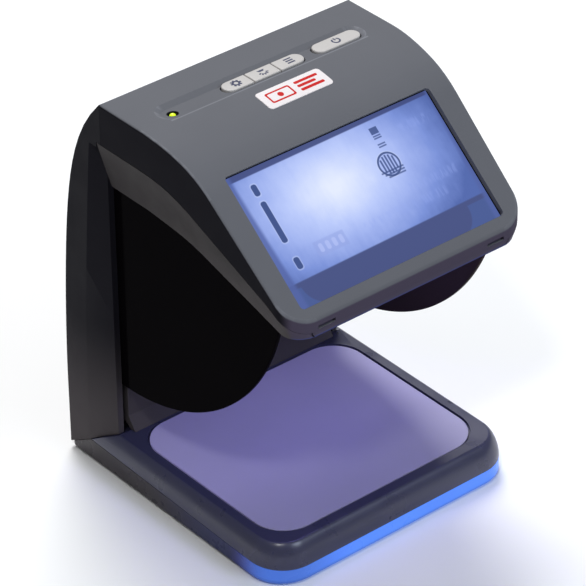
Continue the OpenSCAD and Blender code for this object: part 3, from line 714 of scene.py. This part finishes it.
def half_width(y):
    """The head narrows a little towards the front, where its corners are round."""
    side = ramp_between(y, [(HEAD_REAR_Y, HALF_W), (SIDE_BEND_Y, HALF_W), (FRONT_Y, SIDE_FRONT_W)])
    into_corner = max(0, FRONT_Y + CORNER_RY - y) / CORNER_RY
    return side - BEZEL_R * (1 - math.sqrt(max(0, 1 - into_corner ** 2)))


def head_stations():
    """The places along y where the head's outline is drawn: close together where it bends."""
    bends = [BUMP_CENTRE.x - BUMP_R * sin(BUMP_ANGLE * i / 14) for i in range(15)]
    brow_turn = FACE_TILT - BUMP_ANGLE
    brow = [BROW_CENTRE.x - BROW_R * sin(BUMP_ANGLE + brow_turn * i / 10) for i in range(1, 11)]
    fold = [FOLD_Y - FOLD_R * sin(FOLD_ANGLE * i / 8) for i in range(9)]
    corner = [FRONT_Y + CORNER_RY * (1 - sin(pi / 2 * i / 12)) for i in range(13)]
    inner = [SIDE_BEND_Y, 26.0, -32.0, -40.0, -48.0, KNEE[0]]
    kept = [HEAD_REAR_Y]
    for y in sorted(bends + brow + fold + corner + inner, reverse=True):
        if kept[-1] - y > 0.02:
            kept.append(y)
    return kept


def head_block(name, inset, edge, past_rear=0.0, past_bottom=0.0):
    """The head above its fold line, closed, with its top edges rounded, `inset` inside the outer skin."""
    ys = head_stations()
    outline = [Vector((half_width(y), y)) for y in ys]
    normals = []
    for i, p in enumerate(outline):
        t = outline[min(i + 1, len(ys) - 1)] - outline[max(i - 1, 0)]
        normals.append(Vector((t.y, -t.x)).normalized())
    normals[0], normals[-1] = Vector((-1, 0)), Vector((0, 1))
    steps = 6
    rings = []
    for k in range(steps + 1):
        a = pi / 2 * k / steps
        ring = []
        for p, n, y in zip(outline, normals, ys):
            q = p + n * (inset + edge * (1 - cos(a)))
            slope = (top_line(q.y + 0.5) - top_line(q.y - 0.5)) if q.y < BUMP_Y else 0
            z = top_line(q.y) - inset * math.sqrt(1 + slope ** 2) - edge * (1 - sin(a))
            ring.append((q.x, q.y + (past_rear if y == HEAD_REAR_Y else 0), z))
        rings.append(ring)
    bottom = [(p[0], p[1], fold_line(y) + SEAM_GAP / 2 - past_bottom) for p, y in zip(rings[0], ys)]
    rings = [bottom] + rings
    n, m = len(ys), len(rings)
    points = [p for ring in rings for p in ring] + [(-p[0], p[1], p[2]) for ring in rings for p in ring]
    left = n * m
    faces = []
    for k in range(m - 1):
        for i in range(n - 1):
            a, b = k * n + i, k * n + i + 1
            faces.append((a, b, b + n, a + n))
            faces.append((left + a, left + a + n, left + b + n, left + b))
        end = k * n + n - 1
        faces.append((end, left + end, left + end + n, end + n))
    for i in range(n - 1):
        faces.append((i, left + i, left + i + 1, i + 1))
        a = (m - 1) * n + i
        faces.append((a, a + 1, left + a + 1, left + a))
    rear = [k * n for k in range(m)]
    faces.append(tuple(rear + [left + k for k in reversed(rear)]))
    return mesh_object(name, points, faces)


RIM_SLOT_X, RIM_SLOT_W, RIM_SLOT_LOW, RIM_SLOT_HIGH = 40.1, 8.0, 0.9, 2.4


def groove_cutter():
    """The buttons' trough: a bank at its rear, a floor rising to the front, and a low lip there."""
    front, rear = GROOVE_FRONT + GROOVE_LIP, GROOVE_REAR - GROOVE_BANK
    fall = (GROOVE_DROP - GROOVE_LIP_DROP) / (rear - front)
    ground = rounded_outline(-GROOVE_HALF + 2.2, GROOVE_HALF - 2.2, front, rear, 3.4, 10)
    rim = rounded_outline(-GROOVE_HALF, GROOVE_HALF, GROOVE_FRONT, GROOVE_REAR, 5.6, 10)
    rings = [[(x, y, TOP_Z - GROOVE_LIP_DROP - fall * (y - front)) for x, y in ground]]
    rings += [[(x, y, z) for x, y in rim] for z in (TOP_Z + 0.02, TOP_Z + 5)]
    return loft("trough", rings)


def key_outline(x0, x1, left_round, right_round, inset=0.0, steps=8):
    """Outline of one key from above: each end is a half circle or nearly square."""
    half = KEY_L / 2
    points = []
    for x, outward, is_round in ((x1, 1, right_round), (x0, -1, left_round)):
        r = half if is_round else 0.35
        r_now = max(r - inset, 0.02)
        centre_x = x - outward * max(r, inset)
        offset = half - max(r, inset)
        for side in (-outward, outward):
            start = -pi / 2 if outward > 0 else pi / 2
            start += 0 if side == -outward else pi / 2
            points += arc((centre_x, KEY_Y + side * offset), r_now, start, start + pi / 2, steps)
    return points


def head_top():
    """The upper shell, with the screen's window, the trough and its holes, and the slots in the front rim."""
    body = head_block("head_top", 0, HEAD_EDGE, past_rear=CLOSED_SEAM)
    combine(body, head_block("head_hollow", WALL, HOLLOW_EDGE, past_rear=5, past_bottom=5))
    window = rounded_outline(-WINDOW_W / 2, WINDOW_W / 2, -WINDOW_L / 2, WINDOW_L / 2, WINDOW_R)
    combine(body, on_face(slab("window", window, -THROUGH, THROUGH)))
    combine(body, groove_cutter())
    for x0, x1 in ((-ROW_HALF, ROW_HALF), (POWER_X - POWER_W / 2, POWER_X + POWER_W / 2)):
        hole = key_outline(x0 - KEY_GAP, x1 + KEY_GAP, True, True, 0)
        hole = [(x, KEY_Y + (y - KEY_Y) * (1 + 2 * KEY_GAP / KEY_L)) for x, y in hole]
        combine(body, slab("key_hole", hole, TOP_Z - THROUGH, TOP_Z + THROUGH))
    led_hole = arc(LED_SPOT, LED_HOLE_R, 0, 2 * pi * 31 / 32, 31)
    combine(body, slab("led_hole", led_hole, TOP_Z - THROUGH, TOP_Z + THROUGH))
    for x in (-RIM_SLOT_X, RIM_SLOT_X):
        slot = rounded_outline(x - RIM_SLOT_W / 2, x + RIM_SLOT_W / 2, FRONT_Y - 3, FRONT_Y + 6, 0.1, 2)
        combine(body, slab("rim_slot", slot, LIP_Z + RIM_SLOT_LOW, LIP_Z + RIM_SLOT_HIGH))
    middle = face_matrix(WINDOW_C).translation

    def share(p):
        """Full edges round the window, crisper ones in the trough, none at the joint with the rear cover."""
        if p.y > HEAD_REAR_Y - 0.5:
            return 0
        if p.y > GROOVE_FRONT - 1 and p.z > TOP_Z - 3.2:
            return 0.9 if p.y > GROOVE_REAR - 0.3 else 0.28
        return 0.8 if (p - middle).length < 60 and p.z > LIP_Z + 6 else 0.35
    soften(body, 0.6, 3, 24, share)
    piece(shade(body), ROOT, MATERIALS["grey_plastic"], "head_top_shell")


head_top()


# ---------- buttons ----------
KEY_STEP = 2 * ROW_HALF / 3
KEY_SPLIT = 0.35
KEY_CROWN, KEY_RIM = 0.14, 0.45         # the rise of a key's middle over its rim, and the rim's rounding
KEY_FOOT, STEM_R = 3.6, 1.6             # depth of a key below the head's top, and radius of its stem
STEM_LAP = 0.4              # the stem reaches this far up into the key
KEYS = {
    "settings_button": (-ROW_HALF, -ROW_HALF + KEY_STEP - KEY_SPLIT, True, False),
    "lamp_button": (-ROW_HALF + KEY_STEP, ROW_HALF - KEY_STEP - KEY_SPLIT, False, False),
    "mode_button": (ROW_HALF - KEY_STEP, ROW_HALF, False, True),
    "power_button": (POWER_X - POWER_W / 2, POWER_X + POWER_W / 2, True, True),
}


def key_height(depth_in):
    """Height of a key's surface at a distance in from its outline: a rounded rim, then a slow crown."""
    rounding = KEY_RIM - math.sqrt(max(0, KEY_RIM ** 2 - max(0, KEY_RIM - depth_in) ** 2))
    crown = KEY_CROWN * (1 - (1 - min(1, depth_in / (KEY_L / 2))) ** 2)
    return KEY_TOP - KEY_CROWN + crown - rounding


def key_piece(node):
    """One key: a crowned cap, lofted from its outline inwards, on a round stem."""
    x0, x1, left_round, right_round = KEYS[node]
    stem_foot = box_mm(node)[0].z
    rings = [[(x, y, z) for x, y in key_outline(x0, x1, left_round, right_round)]
             for z in (TOP_Z - KEY_FOOT, key_height(0) - 0.01)]
    for depth_in in (0.03, 0.12, 0.25, 0.45, 0.9, 1.5, 2.2, 2.8):
        rings.append([(x, y, key_height(depth_in))
                      for x, y in key_outline(x0, x1, left_round, right_round, depth_in)])
    body = loft(node.replace("_button", "_key"), rings)
    stem = arc(((x0 + x1) / 2, KEY_Y), STEM_R, 0, 2 * pi * 23 / 24, 23)
    combine(body, slab("stem", stem, stem_foot, TOP_Z - KEY_FOOT + STEM_LAP), "UNION")
    return piece(shade(body, 50), node, MATERIALS["key_plastic"], node)


ICON_SCALE, PRINT_LIFT = 1.4, 0.02      # size of the symbols, and how far their print stands up


def icon(name, node, polygons):
    """Printed symbol: thin plates that follow the key's crown. polygons are in the key's own x and y."""
    x0, x1, _, _ = KEYS[node]
    centre = Vector(((x0 + x1) / 2, KEY_Y))
    points, faces = [], []
    for outline in polygons:
        n, first = len(outline), len(points)
        for lift in (-PRINT_LIFT, PRINT_LIFT):
            points += [(centre.x + ICON_SCALE * x, centre.y + ICON_SCALE * y,
                        key_height(KEY_L / 2 - ICON_SCALE * abs(y)) + lift) for x, y in outline]
        faces += [tuple(range(first, first + n)), tuple(range(first + n, first + 2 * n))]
        faces += [(first + i, first + (i + 1) % n, first + n + (i + 1) % n, first + n + i) for i in range(n)]
    plate = mesh_object(name, points, faces)
    return piece(shade(plate), node, MATERIALS["print"])


def ring_band(radius, width, start, end, steps=24):
    """A ring, or part of one, as quads."""
    quads = []
    for i in range(steps):
        a, b = (start + (end - start) * k / steps for k in (i, i + 1))
        quads.append([(r * cos(t), r * sin(t)) for r, t in
                      ((radius, a), (radius + width, a), (radius + width, b), (radius, b))])
    return quads


def bar(x, y, length, width, angle):
    """A rectangle round (x, y), turned by angle."""
    along, across = Vector((cos(angle), sin(angle))), Vector((-sin(angle), cos(angle)))
    middle = Vector((x, y))
    return [tuple(middle + along * length / 2 * a + across * width / 2 * b)
            for a, b in ((-1, -1), (1, -1), (1, 1), (-1, 1))]


def gear_icon():
    angles = [pi / 4 * k for k in range(8)]
    teeth = [bar(1.35 * cos(a), 1.35 * sin(a), 0.5, 0.6, a) for a in angles]
    return ring_band(0.60, 0.6, 0, 2 * pi) + teeth


def lamp_icon():
    angles = [radians(-155 + 32.5 * k) for k in range(5)]
    rays = [bar(1.25 * cos(a), 0.05 + 1.25 * sin(a), 0.8, 0.45, a) for a in angles]
    hood = [(-1.2, 1.15), (1.2, 1.15), (0.65, 0.35), (-0.65, 0.35)]
    return [hood] + rays


def mode_icon():
    return [bar(0, 1.0 - k, 2.4, 0.55, 0) for k in range(3)]


def power_icon():
    return ring_band(0.85, 0.5, radians(125), radians(415)) + [bar(0, 0.75, 1.2, 0.5, pi / 2)]


for key_node in KEYS:
    key_piece(key_node)
icon("settings_icon", "settings_button", gear_icon())
icon("lamp_icon", "lamp_button", lamp_icon())
icon("mode_icon", "mode_button", mode_icon())
icon("power_icon", "power_button", power_icon())


# ---------- status light and badge ----------
LENS_R, LENS_DROP = 1.3, 0.1            # the lens stops this far below the CAD lamp's top


def dome(name, centre, radius, z0, z1):
    """Round lens with a domed top."""
    sides, dome_steps, rise = 24, 9, radius * 0.9
    turns = [2 * pi * i / sides for i in range(sides)]
    levels = [(radius, z0), (radius, z1 - rise)]
    for k in range(1, dome_steps):
        a = pi / 2 * k / dome_steps
        levels.append((radius * cos(a), z1 - rise + rise * sin(a)))
    rings = [[(centre[0] + r * cos(t), centre[1] + r * sin(t), z) for t in turns] for r, z in levels]
    return shade(loft(name, rings), 60)


def status_lens():
    low, high = box_mm("status_led")
    lens = dome("status_lens", LED_SPOT, LENS_R, low.z, high.z - LENS_DROP)
    return piece(lens, ROOT, MATERIALS["status_lens"], "status_led")


status_lens()


def badge():
    """Raised white plate, bent to the head's top, with a generic printed pictogram of a note and lines."""
    low, high = box_mm("badge_plate")
    lean, proud, strips = radians(9.5), 0.28, 24
    half_x, half_s, thick = (high.x - low.x) / 2, 5.1, 0.75
    middle_x = (low.x + high.x) / 2
    plate = slab("badge", rounded_outline(-half_x, half_x, -half_s, half_s, 1.6), -thick, 0)
    soften(plate, 0.22, 3, 24, lambda p: 1 if p.z > -thick / 2 else 0)

    def bend(bm):
        for k in range(1, strips):
            cut_at = Vector((0, -half_s + 2 * half_s * k / strips, 0)) * MM
            everything = bm.verts[:] + bm.edges[:] + bm.faces[:]
            bmesh.ops.bisect_plane(bm, geom=everything, plane_co=cut_at, plane_no=(0, 1, 0))
        for v in bm.verts:
            x, s, h = v.co / MM
            r, a = BUMP_R + proud + h, lean - s / BUMP_R
            v.co = Vector((middle_x + x, BUMP_CENTRE.x - r * sin(a), BUMP_CENTRE.y + r * cos(a))) * MM
    edit(plate, bend)
    return piece(shade(plate), ROOT, badge_print(), "badge_plate")


def badge_print():
    """Warm white plastic with the red pictogram."""
    s = moulded("badge_print", (0.72, 0.675, 0.675), 0.40, depth=0.004, spread=0.03, edge_wear_and_highlight=0, specular=0.06)
    x, y, z = s.xyz()
    low, high = box_mm("badge_plate")
    u = s.sub(x, (low.x + high.x) / 2)
    v = s.sub(y, (low.y + high.y) / 2)
    note = (-6.4, 0)
    border = s.sub(s.rounded_box(u, v, note, (5.6, 2.9), 0.8), s.rounded_box(u, v, note, (4.8, 2.1), 0.5))
    mask = s.high(border, s.disc(u, v, note, 1.25))
    for k, half_u in enumerate((5.4, 4.2, 5.4)):
        mask = s.high(mask, s.rounded_box(u, v, (1.6 + half_u, 2.2 - 2.2 * k), (half_u, 0.68), 0.5))
    base = s.base_colour()
    s.set("Base Color", s.mix(mask, base, (0.50, 0.010, 0.008)))
    return s.material


badge()


# ---------- screen ----------
GLASS_L, GLASS_T, GLASS_DEPTH = 58.6, 1.15, 2.05


def screen():
    """The glass, GLASS_DEPTH below the slope, behind the window."""
    low, high = box_mm("lcd_glass")
    outline = rounded_outline(low.x, high.x, -GLASS_L / 2, GLASS_L / 2, 0.4, 3)
    panel = soften(slab("screen_panel", outline, -GLASS_T, 0), 0.12, 2)
    on_face(panel, WINDOW_C, -GLASS_DEPTH)
    return piece(shade(panel), ROOT, MATERIALS["screen"], "lcd_glass")


screen()


# ---------- base ----------
BASE_LOW, BASE_HIGH = box_mm("base_lower_shell")
BASE_FRONT, BASE_REAR, BASE_HALF = BASE_LOW.y, BASE_HIGH.y, BASE_HIGH.x
RIM_Z, BASE_R, REAR_R = 17.3, 15.0, 3.0
SKIRT_FRONT, SKIRT_RISE = 7.2, 0.026
COLUMN_Y = 37.4             # front of the column
SEAM = [(COLUMN_Y, 18.2), (46.5, 13.7), (66.5, 1.6)]
TRAY_HALF, TRAY_FRONT, TRAY_REAR, TRAY_R, TRAY_Z, TRAY_GAP = 50.8, -50.3, 35.5, 14.0, 17.0, 0.8


def base_ring(inset, z, steps=16):
    """Outline of the base, `inset` inside; z is a height or a function of y."""
    w, f, b = BASE_HALF - inset, BASE_FRONT + inset, BASE_REAR - inset
    front_r = BASE_R - inset
    flat = (arc((w - front_r, f + front_r), front_r, -pi / 2, 0, steps)
            + arc((w - REAR_R, b - REAR_R), REAR_R, 0, pi / 2, 6)
            + arc((REAR_R - w, b - REAR_R), REAR_R, pi / 2, pi, 6)
            + arc((front_r - w, f + front_r), front_r, pi, 1.5 * pi, steps))
    return [(x, y, z(y) if callable(z) else z) for x, y in flat]


def skirt_top(y):
    """Height of the blue skirt's top edge, which rises towards the back."""
    return SKIRT_FRONT + SKIRT_RISE * (y - BASE_FRONT)


def base_cover():
    """Convex slope from the skirt up to the rim, a pocket for the inlay, and the joint under the column."""
    reach, power = 4.4, 1.6

    def height(share):
        return lambda y: skirt_top(y) + SEAM_GAP / 2 + (RIM_Z - skirt_top(y) - SEAM_GAP / 2) * share
    shares = [sin(pi / 2 * k / 12) for k in range(13)]
    rings = [base_ring(reach * (1 - (1 - s ** power) ** (1 / power)), height(s)) for s in shares]
    cover = loft("base_cover", rings)
    hollow = loft("hollow", [base_ring(WALL, lambda y: skirt_top(y) - 1), base_ring(WALL + 1.6, 11),
                             base_ring(WALL + 5, 14.2)])
    front_part = [(BASE_FRONT - 5, 0), (COLUMN_Y, 0), (COLUMN_Y, 20), (BASE_FRONT - 5, 20)]
    combine(cover, combine(hollow, prism("front_part", front_part, BASE_HALF + 5), "INTERSECT"))
    under_column = [(COLUMN_Y - 1, 0), (60, 0), (56, 4.5), (47, 10.6), (COLUMN_Y - 1, 15.4)]
    combine(cover, prism("under_column", under_column, BASE_HALF - WALL))
    above = [(y, z - SEAM_GAP / 2) for y, z in SEAM] + [(72, 60), (COLUMN_Y, 60)]
    combine(cover, prism("above_seam", above, BASE_HALF + 5))
    pocket = rounded_outline(-TRAY_HALF - TRAY_GAP, TRAY_HALF + TRAY_GAP, TRAY_FRONT - TRAY_GAP,
                             TRAY_REAR + TRAY_GAP, TRAY_R + TRAY_GAP, 12)
    combine(cover, slab("pocket", pocket, TRAY_Z - 1, TRAY_Z + 4))
    combine(cover, slab("light_opening", rounded_outline(-42, 42, -39, 27, 4), 12, 20))
    soften(cover, 0.35, 3, 28)
    return piece(shade(cover), ROOT, MATERIALS["slate_plastic"], "base_top_cover")


def inlay():
    """The film that notes lie on."""
    outline = rounded_outline(-TRAY_HALF, TRAY_HALF, TRAY_FRONT, TRAY_REAR, TRAY_R, 14)
    film = soften(slab("tray_film", outline, TRAY_Z - 1, TRAY_Z), 0.2, 2)
    return piece(shade(film), ROOT, MATERIALS["inlay_film"], "tray_inlay")


base_cover()
inlay()


# ---------- CAD shapes with their edges rounded ----------
ROUNDED = {                 # node: (name of the visible piece, rounding in mm, material)
    "base_lower_shell": ("base_skirt", 0.5, "skirt_plastic"),
    "rear_cover": ("rear_shell", 0.7, "dark_plastic"),
    "column_front_cover": ("column_front", 0.3, "dark_plastic"),
    "head_lower_shell": ("head_underside", 0.35, "undercut"),
    "left_side_shade": ("left_shade", 0.35, "shade_acrylic"),
    "right_side_shade": ("right_shade", 0.35, "shade_acrylic"),
}


def away_from_head_seam(p):
    """Edges along the joint with the head's top stay crisp."""
    return 0.1 if HEAD_REAR_Y - 5 < p.y < HEAD_REAR_Y + 1 and p.z > PART_Z else 1


for cad_node, (name, width, material) in ROUNDED.items():
    rounded = soften(copy_of(cad_node, name), width, weight=away_from_head_seam)
    piece(shade(rounded), ROOT, MATERIALS[material], cad_node)


# ---------- CAD nodes kept as they are ----------
for cad_node, obj in frame["nodes"].items():
    if not obj.hide_render:
        material = MATERIALS[SLOT_OF[cad_node]]
        for material_slot in obj.material_slots:
            material_slot.material = material


# ---------- floor, light and camera ----------
FLOOR_HALF = 4000.0


def floor():
    """Plain pale ground that the object stands on."""
    s = Shader("floor")
    cloud = s.noise(0.002, 2)
    s.set("Base Color", s.mix(cloud, (0.90, 0.90, 0.90), (0.93, 0.93, 0.93)))
    s.set("Roughness", 0.9)
    corners = [(FLOOR_HALF * x, FLOOR_HALF * y, 0) for x, y in ((-1, -1), (1, -1), (1, 1), (-1, 1))]
    ground = mesh_object("floor", corners, [(0, 1, 2, 3)])
    ground.data.materials.append(s.material)


def area_light(name, at, target, size, power, colour=(1, 1, 1)):
    """Round lamp; places and size in metres, power in watts."""
    data = bpy.data.lights.new(name, "AREA")
    data.shape, data.size, data.energy, data.color = "DISK", size, power, colour
    lamp = bpy.data.objects.new(name, data)
    lamp.location = at
    lamp.rotation_mode = "QUATERNION"
    lamp.rotation_quaternion = (Vector(target) - Vector(at)).to_track_quat("-Z", "Y")
    scene.collection.objects.link(lamp)


def world(colour, strength):
    made = bpy.data.worlds.new("world")
    made.use_nodes = True
    background = made.node_tree.nodes["Background"]
    background.inputs["Color"].default_value = (*colour, 1)
    background.inputs["Strength"].default_value = strength
    scene.world = made


floor()
world((0.95, 0.97, 1.0), 0.22)
area_light("key", (0.42, 0.85, 1.50), (0, 0, 0.1), 0.9, 26)
area_light("fill", (0.35, -1.35, 1.1), (0, 0, 0.1), 0.8, 10, (0.76, 0.86, 1.0))
area_light("spark", (-0.66, -0.50, 1.25), (0, 0, 0.05), 0.20, 5.0)
area_light("tray_glow", (0, -0.033, 0.117), (0, -0.02, 0.0), 0.045, 0.05, (0.35, 0.30, 1.0))
scene.view_settings.view_transform = "Standard"
add_camera()
